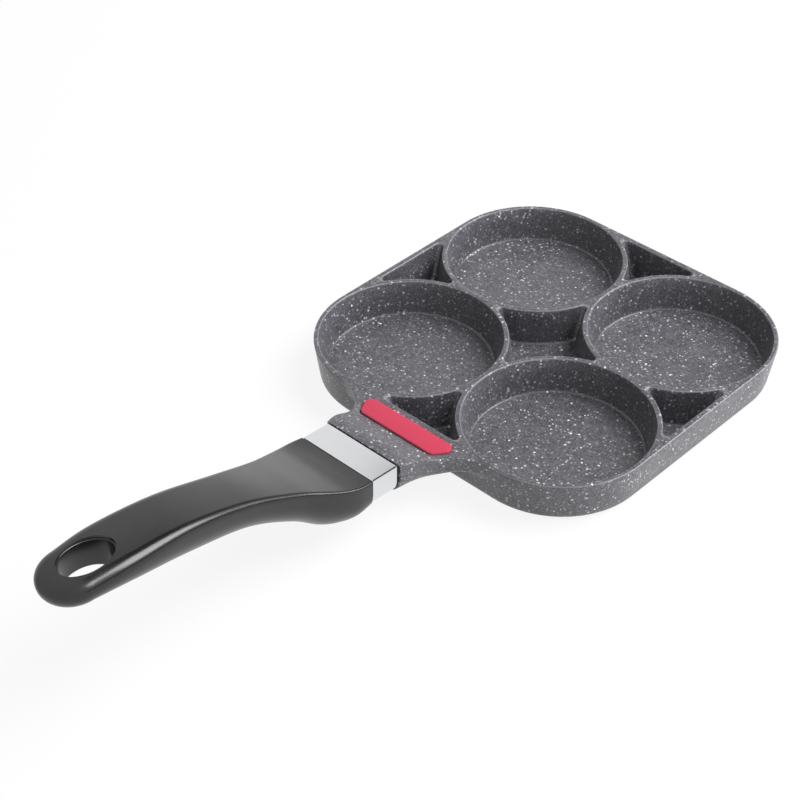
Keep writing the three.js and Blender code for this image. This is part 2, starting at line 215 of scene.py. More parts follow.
def makeStone(rimHeight):
    # Sprayed non-stick coating on cast aluminium: dark satin grey with a fine paler grain,
    # and white flecks in the film
    material, tree, shader = newMaterial("stone speckled nonstick coating")
    coordinates = addNode(tree, "ShaderNodeTexCoord", {})
    place = coordinates.outputs["Object"]
    grain = addNode(
        tree, "ShaderNodeTexNoise", {"Scale": 1 / stone["grain"], "Detail": 2, "Roughness": 0.6},
        [("Vector", place)])
    mottle = addNode(
        tree, "ShaderNodeTexNoise", {"Scale": 1 / stone["mottle"], "Detail": 2}, [("Vector", place)])
    ground = addNode(tree, "ShaderNodeValToRGB", {}, [("Fac", grain.outputs["Fac"])])
    for stop, position, tone in zip(ground.color_ramp.elements, stone["grainSpan"], stone["tones"]):
        stop.position = position
        stop.color = linear(tone)
    shade = addNode(
        tree, "ShaderNodeMapRange", {
            "From Min": noiseSpan[0], "From Max": noiseSpan[1],
            "To Min": stone["mottleShade"][0], "To Max": stone["mottleShade"][1]},
        [("Value", mottle.outputs["Fac"])])
    colour = addNode(tree, "ShaderNodeVectorMath", {"operation": "SCALE"}, [
        ("Vector", ground.outputs["Color"]), ("Scale", shade.outputs["Result"])]).outputs["Vector"]
    # painted highlight: the round lips of the rims are painted paler where they turn upwards, where light
    # from above would catch them
    height = addNode(tree, "ShaderNodeSeparateXYZ", {}, [("Vector", place)])
    band = addNode(
        tree, "ShaderNodeMapRange", {"From Min": rimHeight - stone["lipHighlightBand"], "From Max": rimHeight},
        [("Value", height.outputs["Z"])])
    thin = addNode(tree, "ShaderNodeValToRGB", {}, [("Fac", band.outputs["Result"])])
    thin.color_ramp.elements[1].color = (0, 0, 0, 1)
    for position in stone["lipHighlightFull"]:
        thin.color_ramp.elements.new(position).color = [stone["lipHighlightShare"]] * 3 + [1]
    facing = addNode(tree, "ShaderNodeSeparateXYZ", {}, [("Vector", coordinates.outputs["Normal"])])
    leastUp, fullUp = stone["lipHighlightFacing"]
    turned = addNode(
        tree, "ShaderNodeMapRange", {"From Min": leastUp, "From Max": fullUp},
        [("Value", facing.outputs["Z"])])
    lipHighlightMask = addNode(tree, "ShaderNodeMath", {"operation": "MULTIPLY"}, [
        (0, thin.outputs["Color"]), (1, turned.outputs["Result"])])
    paintedLipHighlight = addNode(tree, "ShaderNodeMix", {"data_type": "RGBA", 7: linear(stone["lipHighlightTone"])}, [
        ("Factor", lipHighlightMask.outputs["Value"]), (6, colour)])
    colour = paintedLipHighlight.outputs[2]
    # the flecks get ragged outlines from a slight shift of the place
    tear = addNode(
        tree, "ShaderNodeTexNoise", {"Scale": 1 / stone["ragged"], "Detail": 1}, [("Vector", place)])
    torn = addNode(
        tree, "ShaderNodeVectorMath", {"operation": "MULTIPLY_ADD", 1: [stone["raggedReach"]] * 3},
        [(0, tear.outputs["Color"]), (2, place)]).outputs["Vector"]
    # each Voronoi cell may hold one fleck: its random value picks whether, and how large
    for cell, rarest, largest, tint in flecks:
        cells = addNode(
            tree, "ShaderNodeTexVoronoi", {"Scale": 1 / cell, "Randomness": 1}, [("Vector", torn)])
        pick = addNode(tree, "ShaderNodeSeparateColor", {}, [("Color", cells.outputs["Color"])])
        reach = addNode(
            tree, "ShaderNodeMapRange", {"From Min": rarest, "From Max": 1, "To Min": 0, "To Max": largest},
            [("Value", pick.outputs["Red"])])
        mask = addNode(
            tree, "ShaderNodeMath", {"operation": "LESS_THAN"},
            [(0, cells.outputs["Distance"]), (1, reach.outputs["Result"])])
        mix = addNode(tree, "ShaderNodeMix", {"data_type": "RGBA", 7: linear(tint)}, [
            ("Factor", mask.outputs["Value"]), (6, colour)])
        colour = mix.outputs[2]
    tree.links.new(colour, shader.inputs["Base Color"])
    addSkin(tree, shader, grain.outputs["Fac"], stone["roughness"], stone["strength"], stone["relief"])
    shader.inputs["Specular IOR Level"].default_value = stone["specular"]
    return material


phenolic = dict(
    flow=9 * mm,
    tones=("#131314", "#18181a"),
    pores=0.5 * mm,
    roughness=(0.23, 0.29),
    strength=0.12,
    relief=0.03 * mm,
    ior=1.55,
)


def makeBakelite():
    # Moulded phenolic: near black, a satin skin with a faint flow mottle from the mould
    material, tree, shader = newMaterial("moulded black bakelite")
    place = addNode(tree, "ShaderNodeTexCoord", {}).outputs["Object"]
    flow = addNode(
        tree, "ShaderNodeTexNoise", {"Scale": 1 / phenolic["flow"], "Detail": 3}, [("Vector", place)])
    pores = addNode(
        tree, "ShaderNodeTexNoise", {"Scale": 1 / phenolic["pores"], "Detail": 2}, [("Vector", place)])
    mottle = addNode(tree, "ShaderNodeValToRGB", {}, [("Fac", flow.outputs["Fac"])])
    for stop, position, tone in zip(mottle.color_ramp.elements, noiseSpan, phenolic["tones"]):
        stop.position = position
        stop.color = linear(tone)
    tree.links.new(mottle.outputs["Color"], shader.inputs["Base Color"])
    addSkin(
        tree, shader, pores.outputs["Fac"], phenolic["roughness"], phenolic["strength"], phenolic["relief"])
    shader.inputs["IOR"].default_value = phenolic["ior"]
    return material


def makeSteel(name, hexColour, roughness, lineWidth, alongScale):
    # Drawn steel, bare or plated: fine lines catch the light along one direction
    material, tree, shader = newMaterial(name)
    place = addNode(tree, "ShaderNodeTexCoord", {}).outputs["Object"]
    drawn = addNode(tree, "ShaderNodeMapping", {"Scale": alongScale}, [("Vector", place)])
    lines = addNode(
        tree, "ShaderNodeTexNoise", {"Scale": 1 / lineWidth, "Detail": 3},
        [("Vector", drawn.outputs["Vector"])])
    addSkin(tree, shader, lines.outputs["Fac"], roughness, strength=0.06, relief=0.02 * mm)
    shader.inputs["Base Color"].default_value = linear(hexColour)
    shader.inputs["Metallic"].default_value = 1
    return material


def makeTurnedSteel(hexColour, roughness, ringSpacing):
    # Pressed magnetic stainless disc: faint rings from the tool, even dull shine
    material, tree, shader = newMaterial("pressed magnetic stainless")
    place = addNode(tree, "ShaderNodeTexCoord", {}).outputs["Object"]
    wavesPerUnit = 20 / math.tau  # of the wave texture at a scale of 1
    rings = addNode(
        tree, "ShaderNodeTexWave", {
            "wave_type": "RINGS", "rings_direction": "Z", "Scale": 1 / (ringSpacing * wavesPerUnit),
            "Distortion": 0.4, "Detail": 1}, [("Vector", place)])
    addSkin(tree, shader, rings.outputs["Fac"], roughness, strength=0.15, relief=0.02 * mm)
    shader.inputs["Base Color"].default_value = linear(hexColour)
    shader.inputs["Metallic"].default_value = 1
    return material


def makeRubber(name, tones, roughness, toothSize):
    # Moulded silicone or rubber: even colour, matte, a very fine tooth from the mould
    material, tree, shader = newMaterial(name)
    place = addNode(tree, "ShaderNodeTexCoord", {}).outputs["Object"]
    tooth = addNode(tree, "ShaderNodeTexNoise", {"Scale": 1 / toothSize, "Detail": 2}, [("Vector", place)])
    tint = addNode(tree, "ShaderNodeValToRGB", {}, [("Fac", tooth.outputs["Fac"])])
    for stop, position, tone in zip(tint.color_ramp.elements, noiseSpan, tones):
        stop.position = position
        stop.color = linear(tone)
    tree.links.new(tint.outputs["Color"], shader.inputs["Base Color"])
    bump = addNode(
        tree, "ShaderNodeBump", {"Strength": 0.2, "Distance": 0.03 * mm},
        [("Height", tooth.outputs["Fac"])])
    tree.links.new(bump.outputs["Normal"], shader.inputs["Normal"])
    shader.inputs["Roughness"].default_value = roughness
    shader.inputs["IOR"].default_value = 1.42
    return material


bakelite = makeBakelite()
brightSteel = makeSteel(
    "polished stainless", "#dedfe1", roughness=(0.112, 0.16), lineWidth=0.25 * mm, alongScale=(0.04, 1, 1))
zincSteel = makeSteel(
    "zinc plated steel", "#a4a7ab", roughness=(0.238, 0.34), lineWidth=0.4 * mm, alongScale=(1, 1, 0.1))
plateSteel = makeTurnedSteel("#b9bbbe", roughness=(0.3, 0.42), ringSpacing=1.98 * mm)
redSilicone = makeRubber("red silicone", ("#b4364c", "#be3e55"), roughness=0.55, toothSize=0.4 * mm)
blackRubber = makeRubber("black rubber", ("#131313", "#1c1c1c"), roughness=0.7, toothSize=0.4 * mm)
print("materials done")


# Pan casting: four cups, five pockets between them, the outer wall, the bracket and its tang

pan = dict(
    cupRadius=47 * mm,
    cupDepth=18 * mm,
    cupDraft=4 * mm,
    cupFillet=1.6 * mm,
    rimWidth=2.5 * mm,
    rimRound=0.85 * mm,
    floorThickness=5 * mm,
    wallDraft=3.3 * mm,
    baseRadius=4 * mm,
    cupSteps=144,
    cornerSteps=36,
    sideSteps=32,
    wallRows=6,
    arcSteps=5,
)
pocket = dict(
    wall=3.3 * mm,  # between pocket and outside
    floor=4 * mm,
    draft=3 * mm,
    corner=2.2 * mm,
    fillet=1.6 * mm,
    straightSteps=10,
    cornerSteps=8,
    sideSteps=28,
    middleSteps=32,
    cuspSteps=4,
)
plate = dict(
    radius=74.95 * mm,
    thickness=0.9 * mm,
    gap=0.3 * mm,
    hole=3.5 * mm,
    holeSteps=32,
    pitch=20 * mm,
    rings=3,
    holesPerRing=6,
    edge=0.2 * mm,
)
panHeight = pan["floorThickness"] + pan["cupDepth"]
cupOffset = pan["cupRadius"] + pan["rimWidth"] / 2
rimRadius = pan["cupRadius"] + pan["rimWidth"]
panHalf = cupOffset + rimRadius


def wallProfile(depth, draft, lip, foot):
    # (distance drawn in from the rim line, depth below the rim), from the round lip down to the foot fillet
    lean = math.atan2(draft, depth)
    leanDegrees = math.degrees(lean)
    lipCentre = (lip * math.tan(lean) - lip / math.cos(lean), lip)
    footDown = depth - foot
    footCentre = (footDown * math.tan(lean) + foot / math.cos(lean), footDown)
    return (arcPoints(lipCentre, lip, -90, -leanDegrees, pan["arcSteps"])
            + arcPoints(footCentre, foot, 180 - leanDegrees, 90, pan["arcSteps"]))


def outerProfile():  # (distance out from the rim outline, depth below the rim), lip to base
    lean = math.atan2(-pan["wallDraft"], panHeight)
    leanDegrees = math.degrees(lean)
    lip, foot = pan["rimRound"], pan["baseRadius"]
    lipCentre = (lip * math.tan(lean) - lip / math.cos(lean), lip)
    footDown = panHeight - foot
    footCentre = (footDown * math.tan(lean) - foot / math.cos(lean), footDown)
    wallTop = arcPoints(lipCentre, lip, -90, -leanDegrees, pan["arcSteps"])
    wallFoot = arcPoints(footCentre, foot, -leanDegrees, 90, pan["arcSteps"])
    (topOut, topDown), (footOut, footTop) = wallTop[-1], wallFoot[0]
    shares = [i / pan["wallRows"] for i in range(1, pan["wallRows"])]
    between = [(topOut + (footOut - topOut) * s, topDown + (footTop - topDown) * s) for s in shares]
    return wallTop + between + wallFoot


def addChain(bm, points):  # open run of edges through the points
    verts = [bm.verts.new(point) for point in points]
    return verts + [bm.edges.new(pair) for pair in zip(verts, verts[1:])]


def addCup(bm, x, y):
    profile = wallProfile(pan["cupDepth"], pan["cupDraft"], pan["rimRound"], pan["cupFillet"])
    points = [(x + pan["cupRadius"] - drawn, y, panHeight - down) for drawn, down in profile]
    chain = addChain(bm, points + [(x, y, pan["floorThickness"])])
    bmesh.ops.spin(
        bm, geom=chain, cent=(x, y, 0), axis=upwards, angle=math.tau, steps=pan["cupSteps"], use_merge=True)


def addOuterWall(bm):
    points = [(panHalf + out, cupOffset, panHeight - down) for out, down in outerProfile()]
    side = addChain(bm, points)
    quarter = math.pi / 2
    for k in range(4):  # a quarter turn round each corner, then the straight side to the next one
        turn = Matrix.Rotation(k * quarter, 3, "Z")
        centre = turn @ Vector((cupOffset, cupOffset, 0))
        corner = bmesh.ops.spin(
            bm, geom=side, cent=centre, axis=upwards, angle=quarter, steps=pan["cornerSteps"])
        run = turn @ Vector((-2 * cupOffset / pan["sideSteps"], 0, 0))
        straight = bmesh.ops.spin(
            bm, geom=corner["geom_last"], cent=centre, axis=upwards, dvec=run, angle=0,
            steps=pan["sideSteps"])
        side = straight["geom_last"]


def sidePocketOutline(drawn):  # between two cups and the outer wall, on the +Y side
    wall = rimRadius + drawn
    reach = wall + pocket["corner"]
    edge = panHalf - pocket["wall"] - drawn
    cornerY = edge - pocket["corner"]
    cornerX = cupOffset - math.sqrt(reach ** 2 - (cornerY - cupOffset) ** 2)
    cuspY = cupOffset + math.sqrt(reach ** 2 - cupOffset ** 2)
    cornerTurn = math.degrees(math.atan2(cupOffset - cornerY, cupOffset - cornerX))
    cuspTurn = math.degrees(math.atan2(cuspY - cupOffset, -cupOffset))
    straight = [(cornerX * i / pocket["straightSteps"], edge) for i in range(pocket["straightSteps"])]
    half = (straight
            + arcPoints((cornerX, cornerY), pocket["corner"], 90, cornerTurn, pocket["cornerSteps"])
            + arcPoints((cupOffset, cupOffset), wall, cornerTurn + 180, cuspTurn, pocket["sideSteps"])[1:]
            + arcPoints((0, cuspY), pocket["corner"], cuspTurn - 180, -90, pocket["cuspSteps"])[1:])
    return half + [(-x, y) for x, y in half[-2:0:-1]]


def middlePocketOutline(drawn):
    wall = rimRadius + drawn
    cusp = cupOffset - math.sqrt((wall + pocket["corner"]) ** 2 - cupOffset ** 2)
    cuspTurn = math.degrees(math.atan2(cupOffset - cusp, cupOffset))
    cup = (cupOffset, cupOffset)
    quarter = (arcPoints((0, cusp), pocket["corner"], 90, cuspTurn, pocket["cuspSteps"])
               + arcPoints(cup, wall, cuspTurn + 180, 270 - cuspTurn, pocket["middleSteps"])[1:]
               + arcPoints((cusp, 0), pocket["corner"], 90 - cuspTurn, 0, pocket["cuspSteps"])[1:-1])
    turns = [(1, 0), (0, -1), (-1, 0), (0, 1)]
    return [(x * c - y * s, x * s + y * c) for c, s in turns for x, y in quarter]


def addPocket(bm, outline, turn):
    depth = panHeight - pocket["floor"]
    turned = Matrix.Rotation(math.radians(turn), 3, "Z")
    sections = [
        [turned @ Vector((x, y, panHeight - down)) for x, y in outline(drawn)]
        for drawn, down in wallProfile(depth, pocket["draft"], pan["rimRound"], pocket["fillet"])]
    foot = addTube(bm, sections)[1]
    bmesh.ops.triangle_fill(bm, edges=foot, use_beauty=True)


def fillLevel(bm, z):  # flat face between all open loops at one height
    level = [e for e in bm.edges if e.is_boundary and all(abs(v.co.z - z) < sameLevel for v in e.verts)]
    bmesh.ops.triangle_fill(bm, edges=level, use_beauty=True)


def makeTray():
    bm = bmesh.new()
    for x in (-cupOffset, cupOffset):
        for y in (-cupOffset, cupOffset):
            addCup(bm, x, y)
    addOuterWall(bm)
    bmesh.ops.remove_doubles(bm, verts=bm.verts, dist=weld)
    addPocket(bm, middlePocketOutline, 0)
    for turn in (0, 90, 180, 270):
        addPocket(bm, sidePocketOutline, turn)
    fillLevel(bm, panHeight)
    recess = plate["radius"] + plate["gap"]
    rim = bmesh.ops.create_circle(bm, segments=pan["cupSteps"], radius=recess)["verts"]
    rimEdges = list({e for v in rim for e in v.link_edges})
    raised = bmesh.ops.extrude_edge_only(bm, edges=rimEdges)["geom"]
    top = [g for g in raised if isinstance(g, bmesh.types.BMVert)]
    bmesh.ops.translate(bm, verts=top, vec=(0, 0, plate["thickness"] + plate["gap"]))
    bmesh.ops.edgeloop_fill(bm, edges=[e for e in bm.edges if e.is_boundary and set(e.verts) <= set(top)])
    fillLevel(bm, 0)
    closeUp(bm)
    return newObject("pan_casting", bm)


# Bracket, tang and red strip

arm = dict(
    bracketLength=34.4 * mm,
    lean=2.1 * mm,
    step=5.8 * mm,
    stepFrom=9 * mm,
    land=3.2 * mm,  # level run behind the step
    neckWidth=51.6 * mm,
    neckEnd=47.4 * mm,
    taperRun=12 * mm,
    flare=24 * mm,
    bellyFlare=6 * mm,
    bellyShare=0.6,
    buried=0.1 * mm,  # the flares start inside the wall, so that no step shows
    rootDepth=2.6 * mm,
    rootSide=6.6 * mm,
    rootBelly=3.5 * mm,
    side=7.6 * mm,
    belly=13.5 * mm,
    edge=1.8 * mm,
    flareSteps=24,
    endSteps=10,
    ferruleLength=15.9 * mm,
    ferruleWidth=45.2 * mm,
    ferruleRise=1 * mm,
    ferruleWall=0.9 * mm,
    ferruleEdge=0.55 * mm,
    ferruleBand=0.4 * mm,  # close loops beside the rims keep the sheet's face flat
    ferruleBevel=0.22 * mm,
    gasket=0.9 * mm,
    gasketInset=0.3 * mm,  # behind the ferrule's outside
    gap=0.3 * mm,
    mouthGap=0.8 * mm,  # dark line between ferrule and handle
)
shoulderY = -panHalf - arm["bracketLength"]
shoulderTop = panHeight + arm["lean"] + arm["step"]
ferruleFront = shoulderY - arm["gasket"]
ferruleBack = ferruleFront - arm["ferruleLength"]
ferruleTop = shoulderTop + arm["ferruleRise"]
handleFront = ferruleBack - arm["mouthGap"]
ringSteps = dict(top=8, edge=6, side=4, belly=16)
lastOnTop = 0.98  # a point close to the edge keeps the top flat


def armRing(top, half, side, belly, edge, crown=0, power=2.4):  # (x, z) round a section with a full belly
    flat = half - edge
    right = [(flat * i / ringSteps["top"], top) for i in range(ringSteps["top"])]
    right.append((flat * lastOnTop, top))
    right += arcPoints((flat, top - edge), edge, 90, 0, ringSteps["edge"])
    for i in range(1, ringSteps["side"]):
        right.append((half, top - edge - (side - edge) * i / ringSteps["side"]))
    for i in range(ringSteps["belly"] + 1):
        turn = math.pi / 2 * i / ringSteps["belly"]
        out, down = abs(math.cos(turn)) ** (2 / power), math.sin(turn) ** (2 / power)
        right.append((half * out, top - side - belly * down))
    right[-1] = (0, right[-1][1])
    crowned = [(x, z + crown * max(1 - (x / half) ** 2, 0) * (z > top - edge)) for x, z in right]
    return crowned + [(-x, z) for x, z in crowned[-2:0:-1]]


def bracketSection(out):
    along = max(out, 0) / arm["bracketLength"]
    start = max(out + arm["buried"], 0)
    flare, bellyFlare = (
        radius - math.sqrt(radius ** 2 - max(radius - start, 0) ** 2)
        for radius in (arm["flare"], arm["bellyFlare"]))
    taper = max(out - arm["bracketLength"] + arm["taperRun"], 0) / arm["taperRun"]
    neck = arm["neckWidth"] + (arm["neckEnd"] - arm["neckWidth"]) * taper ** 2
    step = smoothStep(out, arm["stepFrom"], arm["bracketLength"] - arm["land"])
    belly = arm["rootBelly"] + (arm["belly"] - arm["rootBelly"]) * along
    return dict(
        top=panHeight + arm["lean"] * along + arm["step"] * step,
        half=neck / 2 + flare,
        side=arm["rootSide"] + (arm["side"] - arm["rootSide"]) * along,
        belly=belly + bellyFlare * arm["bellyShare"],
        edge=arm["ferruleEdge"] + (arm["edge"] - arm["ferruleEdge"]) * math.sin(along * math.pi),
    )


def addBracket(bm):
    outs = [-arm["rootDepth"]]
    outs += [arm["flare"] * (i / arm["flareSteps"]) ** 2 - arm["buried"] for i in range(arm["flareSteps"])]
    end = arm["bracketLength"] - arm["flare"]
    outs += [arm["flare"] + end * i / arm["endSteps"] for i in range(arm["endSteps"] + 1)]
    sections = []
    for out in outs:
        points = []
        for x, z in armRing(**bracketSection(out)):
            draft = (panHeight - z) / panHeight * pan["wallDraft"]  # the root follows the wall's lean
            inward = draft * max(1 - max(out, 0) / arm["flare"], 0)
            points.append((x, -panHalf - out + inward, z))
        sections.append(points)
    addSolid(bm, sections)


tang = dict(
    start=(0, -132.95 * mm, 20.15 * mm),  # at the shoulder of the CAD bracket
    width=20 * mm,
    thickness=10 * mm,
    root=8.8 * mm,
    length=42 * mm,
    tilt=-12,
    screwSetback=28 * mm,
)
tangPlace = Matrix.Translation(tang["start"]) @ Matrix.Rotation(math.radians(tang["tilt"]), 4, "X")
screwPlace = tangPlace @ Matrix.Translation((0, -tang["screwSetback"], 0))


def addTang(bm, play):  # the bar itself, or with some play the socket that takes it
    length = tang["root"] + tang["length"] + play
    size = (tang["width"] + 2 * play, length, tang["thickness"] + 2 * play, 1)
    middle = Matrix.Translation((0, tang["root"] - length / 2, 0))
    bmesh.ops.create_cube(bm, size=1, matrix=tangPlace @ middle @ Matrix.Diagonal(size))


strip = dict(
    length=54.6 * mm,
    taper=3 * mm,
    width=13.2 * mm,
    corner=4 * mm,
    cornerSteps=10,
    sunk=1.6 * mm,
    proud=1.3 * mm,
    edge=0.8 * mm,
    edgeSteps=6,
    setback=7.4 * mm,
    tilt=-6.5,
    gap=0.4 * mm,
    under=0.1 * mm,
    clear=6 * mm,  # how far the recess is cut above the bracket
)
stripHeight = bracketSection(strip["setback"])["top"]
stripPlace = (Matrix.Translation((0, -panHalf - strip["setback"], stripHeight))
              @ Matrix.Rotation(math.radians(strip["tilt"]), 4, "X"))


def stripOutline(grow):  # round-cornered bar, wider on the pan's side
    wide = strip["length"] / 2 - strip["corner"]
    slim = wide - strip["taper"]
    reach = strip["width"] / 2 - strip["corner"]
    lean = -math.degrees(math.atan2(strip["taper"], 2 * reach))
    corners = [
        ((slim, -reach), -90, lean), ((wide, reach), lean, 90),
        ((-wide, reach), 90, 180 - lean), ((-slim, -reach), 180 - lean, 270)]
    outline = []
    for centre, start, end in corners:
        outline += arcPoints(centre, strip["corner"] + grow, start, end, strip["cornerSteps"])
    return outline


def addStrip(bm, levels):  # (growth of the outline, height) from the bottom up
    addSolid(bm, [[(x, y, z) for x, y in stripOutline(grow)] for grow, z in levels])
    bmesh.ops.transform(bm, matrix=stripPlace, verts=bm.verts)
    closeUp(bm)


tray = makeTray()
bracketMesh = bmesh.new()
addBracket(bracketMesh)
closeUp(bracketMesh)
combine(tray, bracketMesh, "UNION")
tangMesh = bmesh.new()
addTang(tangMesh, 0)
combine(tray, tangMesh, "UNION")
stripRecess = bmesh.new()
addStrip(stripRecess, [(strip["gap"], -strip["sunk"] - strip["under"]), (strip["gap"], strip["clear"])])
combine(tray, stripRecess, "DIFFERENCE")
finishPiece(tray, makeStone(panHeight), "stone_coating", "pan_body")

stripMesh = bmesh.new()
edgeCentre = (-strip["edge"], strip["proud"] - strip["edge"])
roundOver = arcPoints(edgeCentre, strip["edge"], 0, 90, strip["edgeSteps"])
addStrip(stripMesh, [(0, -strip["sunk"])] + roundOver)
finishPiece(newObject("strip_inlay", stripMesh), redSilicone, "red_silicone", "accent_strip")


# Steel disc under the tray

def makePlate():
    bm = bmesh.new()
    bmesh.ops.create_circle(bm, segments=pan["cupSteps"], radius=plate["radius"])
    for ring in range(1, plate["rings"] + 1):
        out = Matrix.Translation((ring * plate["pitch"], 0, 0))
        count = ring * plate["holesPerRing"]
        for k in range(count):
            place = Matrix.Rotation(math.tau * k / count, 4, "Z") @ out
            bmesh.ops.create_circle(bm, segments=plate["holeSteps"], radius=plate["hole"], matrix=place)
    bmesh.ops.triangle_fill(bm, edges=bm.edges, use_beauty=True)
    raised = bmesh.ops.extrude_face_region(bm, geom=bm.faces)["geom"]
    top = [g for g in raised if isinstance(g, bmesh.types.BMVert)]
    bmesh.ops.translate(bm, verts=top, vec=(0, 0, plate["thickness"]))
    closeUp(bm)
    below = [e for e in bm.edges if all(v.co.z < plate["thickness"] / 2 for v in e.verts)]
    rims = [e for e in below if e.calc_face_angle(0) > sharpTurn]
    bmesh.ops.bevel(
        bm, geom=rims, offset=plate["edge"], segments=2, profile=0.5, affect="EDGES", material=-1)
    return newObject("base_disc", bm)


finishPiece(makePlate(), plateSteel, "plate_steel", "base_plate")


# Ferrule and gasket

def ferruleRing(y, top, inset, edge):  # the sleeve's section, drawn in by the inset
    section = armRing(
        top=top - inset, half=arm["ferruleWidth"] / 2 - inset, side=arm["side"] - inset,
        belly=arm["belly"] - inset, edge=edge)
    return [(x, y, z) for x, z in section]


def makeFerrule():
    bm = bmesh.new()
    wall, edge, band = arm["ferruleWall"], arm["ferruleEdge"], arm["ferruleBand"]
    front, back = (ferruleFront, shoulderTop), (ferruleBack, ferruleTop)
    sections = [
        ferruleRing(*front, 0, edge), ferruleRing(ferruleFront - band, shoulderTop, 0, edge),
        ferruleRing(ferruleBack + band, ferruleTop, 0, edge), ferruleRing(*back, 0, edge),
        ferruleRing(*back, wall, edge / 4), ferruleRing(*front, wall, edge / 4)]
    addTube(bm, sections + sections[:1])
    closeUp(bm)
    across = [e for e in bm.edges if abs(e.verts[0].co.y - e.verts[1].co.y) < sameLevel]
    rims = [e for e in across if e.is_manifold and e.calc_face_angle() > sharpTurn]
    bmesh.ops.bevel(
        bm, geom=rims, offset=arm["ferruleBevel"], segments=2, profile=0.5, affect="EDGES", material=-1)
    return newObject("ferrule_sleeve", bm)


def makeGasket():
    bm = bmesh.new()
    inset, edge = arm["gasketInset"], arm["ferruleEdge"]
    addSolid(bm, [ferruleRing(y, shoulderTop, inset, edge) for y in (shoulderY, ferruleFront)])
    closeUp(bm)
    gasket = newObject("gasket_plate", bm)
    socket = bmesh.new()
    addTang(socket, arm["gap"])
    combine(gasket, socket, "DIFFERENCE")
    return gasket


finishPiece(makeFerrule(), brightSteel, "bright_steel", "ferrule", sharpAngle=50)
finishPiece(makeGasket(), blackRubber, "black_rubber", "heat_gasket")


# Handle

grip = dict(
    length=164.6 * mm,
    proud=0.3 * mm,
    crown=0.5 * mm,
    crownFull=0.2,  # share of the way where the crown is full
    edgeShare=0.98,  # the round edge stays within the upright side
    bellyPower=(2.4, 2),  # full at the front, round at the back
    endRadius=16 * mm,
    endPower=2.2,
    endDrop=0.36,
    endTurn=86,  # degrees, just short of the tip
    steps=90,
    endSteps=14,
)
# share of the way to the round end, rise, half width, upright side, belly, edge, all but the first in mm
gripStations = [
    (0, 0, 23.2, 8, 13.6, 1),
    (0.05, 1.3, 23.3, 9, 16, 1),
    (0.1, 3.4, 22.2, 9.1, 17.3, 1.2),
    (0.16, 7, 20.1, 9, 17.6, 1.6),
    (0.26, 13.5, 16.6, 7.5, 14.7, 2.2),
    (0.43, 23.6, 14.4, 6.1, 13.5, 3.2),
    (0.645, 33, 15, 6.2, 15, 4),
    (0.86, 37, 16.2, 5.2, 13.2, 5),
    (1, 37.2, 15, 5.2, 9.6, 5),
]
gripStart = grip["length"] - grip["endRadius"]
gripTop = ferruleTop + grip["proud"]
gripTip = handleFront - grip["length"]


def stationAt(share):  # smooth run through the stations
    last = len(gripStations) - 1
    at = min(int(share * last), last - 1)
    w = share * last - at
    p0, p1, p2, p3 = (gripStations[min(max(at + k, 0), last)] for k in (-1, 0, 1, 2))
    run = []
    for a, b, c, d in zip(p0, p1, p2, p3):
        v0, v1 = (c - a) / 2, (d - b) / 2
        run.append((2 * b - 2 * c + v0 + v1) * w ** 3 + (3 * c - 3 * b - 2 * v0 - v1) * w ** 2 + v0 * w + b)
    return run


def gripRing(share, endShare):
    along, rise, half, side, belly, edge = stationAt(share)
    narrow = math.sqrt(1 - endShare ** 2)
    thin = math.sqrt(1 - endShare ** grip["endPower"])
    drop = (side + belly) * (1 - thin) * grip["endDrop"]
    frontPower, backPower = grip["bellyPower"]
    section = armRing(
        top=gripTop + (rise - drop) * mm,
        half=half * narrow * mm,
        side=side * thin * mm,
        belly=belly * thin * mm,
        edge=min(edge * narrow, side * thin * grip["edgeShare"]) * mm,
        crown=grip["crown"] * narrow * smoothStep(share, 0, grip["crownFull"]),
        power=frontPower + (backPower - frontPower) * share)
    y = handleFront - along * gripStart - grip["endRadius"] * endShare
    return [(x, y, z) for x, z in section]


def makeGrip():
    bm = bmesh.new()
    inset, edge = arm["ferruleWall"] + arm["gap"], arm["ferruleEdge"] / 2
    sections = [  # the spigot in the ferrule comes first
        ferruleRing(ferruleFront - arm["gap"], shoulderTop, inset, edge),
        ferruleRing(handleFront, ferruleTop, inset, edge)]
    sections += [gripRing(i / grip["steps"], 0) for i in range(grip["steps"] + 1)]
    for i in range(1, grip["endSteps"] + 1):
        sections.append(gripRing(1, math.sin(math.radians(grip["endTurn"]) * i / grip["endSteps"])))
    addSolid(bm, sections)
    closeUp(bm)
    return newObject("handle_grip", bm)


hang = dict(
    length=26.4 * mm,
    width=17.6 * mm,
    waist=0.92,
    waistDown=7 * mm,
    web=10 * mm,
    lip=0.7 * mm,
    foot=3.6 * mm,
    rise=36.7 * mm,
    deep=16.5 * mm,
    tilt=-2.4,  # follows the top of the grip
    clear=6 * mm,  # how far the tool reaches past the grip
    steps=72,
    lipSteps=6,
)


